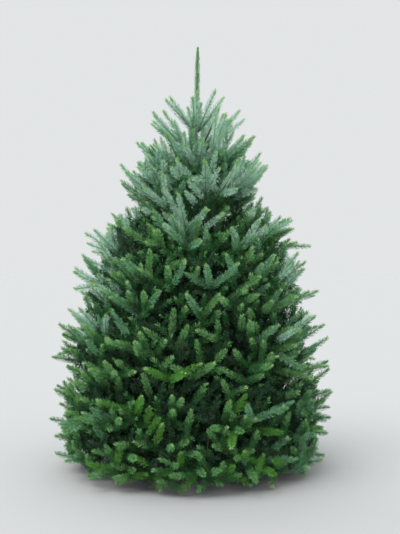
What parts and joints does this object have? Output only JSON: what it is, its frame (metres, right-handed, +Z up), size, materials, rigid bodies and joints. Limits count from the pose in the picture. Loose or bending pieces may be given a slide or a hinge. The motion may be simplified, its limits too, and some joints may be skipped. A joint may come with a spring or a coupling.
{
  "type": "christmas tree",
  "caption": "Young fir grown as a Christmas tree, rooted in the ground: tapering trunk with a root flare, boughs in whorls and a dense conical crown of needled twigs.",
  "frame": {"origin": "middle of the flat cut under the trunk, at ground level", "axes": "+Z up, towards the leader's tip; +X to the right and +Y away from the viewer, as the picture sees the tree; the tip leans slightly towards +X"},
  "size_m": [1.6824, 1.6928, 2.6],
  "materials": {
    "bark": "rough",
    "bough_bark": "rough",
    "needles": "matte"
  },
  "bodies": {
    "root": {"trunk": "bark", "leader_needles": "needles", "foliage_1_1": "needles", "foliage_1_2": "needles", "foliage_1_3": "needles", "foliage_1_4": "needles", "foliage_2_1": "needles", "foliage_2_2": "needles", "foliage_2_3": "needles", "foliage_2_4": "needles", "foliage_3_1": "needles", "foliage_3_2": "needles", "foliage_3_3": "needles", "foliage_3_4": "needles", "bough_4_1": "bough_bark", "foliage_4_1": "needles", "bough_4_2": "bough_bark", "foliage_4_2": "needles", "bough_4_3": "bough_bark", "foliage_4_3": "needles", "bough_4_4": "bough_bark", "foliage_4_4": "needles", "bough_5_1": "bough_bark", "foliage_5_1": "needles", "bough_5_2": "bough_bark", "foliage_5_2": "needles", "bough_5_3": "bough_bark", "foliage_5_3": "needles", "bough_5_4": "bough_bark", "foliage_5_4": "needles", "bough_6_1": "bough_bark", "foliage_6_1": "needles", "bough_6_2": "bough_bark", "foliage_6_2": "needles", "bough_6_3": "bough_bark", "foliage_6_3": "needles", "bough_6_4": "bough_bark", "foliage_6_4": "needles", "bough_7_1": "bough_bark", "foliage_7_1": "needles", "bough_7_2": "bough_bark", "foliage_7_2": "needles", "bough_7_3": "bough_bark", "foliage_7_3": "needles", "bough_7_4": "bough_bark", "foliage_7_4": "needles", "bough_7_5": "bough_bark", "foliage_7_5": "needles", "bough_8_1": "bough_bark", "foliage_8_1": "needles", "bough_8_2": "bough_bark", "foliage_8_2": "needles", "bough_8_3": "bough_bark", "foliage_8_3": "needles", "bough_8_4": "bough_bark", "foliage_8_4": "needles", "bough_8_5": "bough_bark", "foliage_8_5": "needles"}
  },
  "joints": []
}
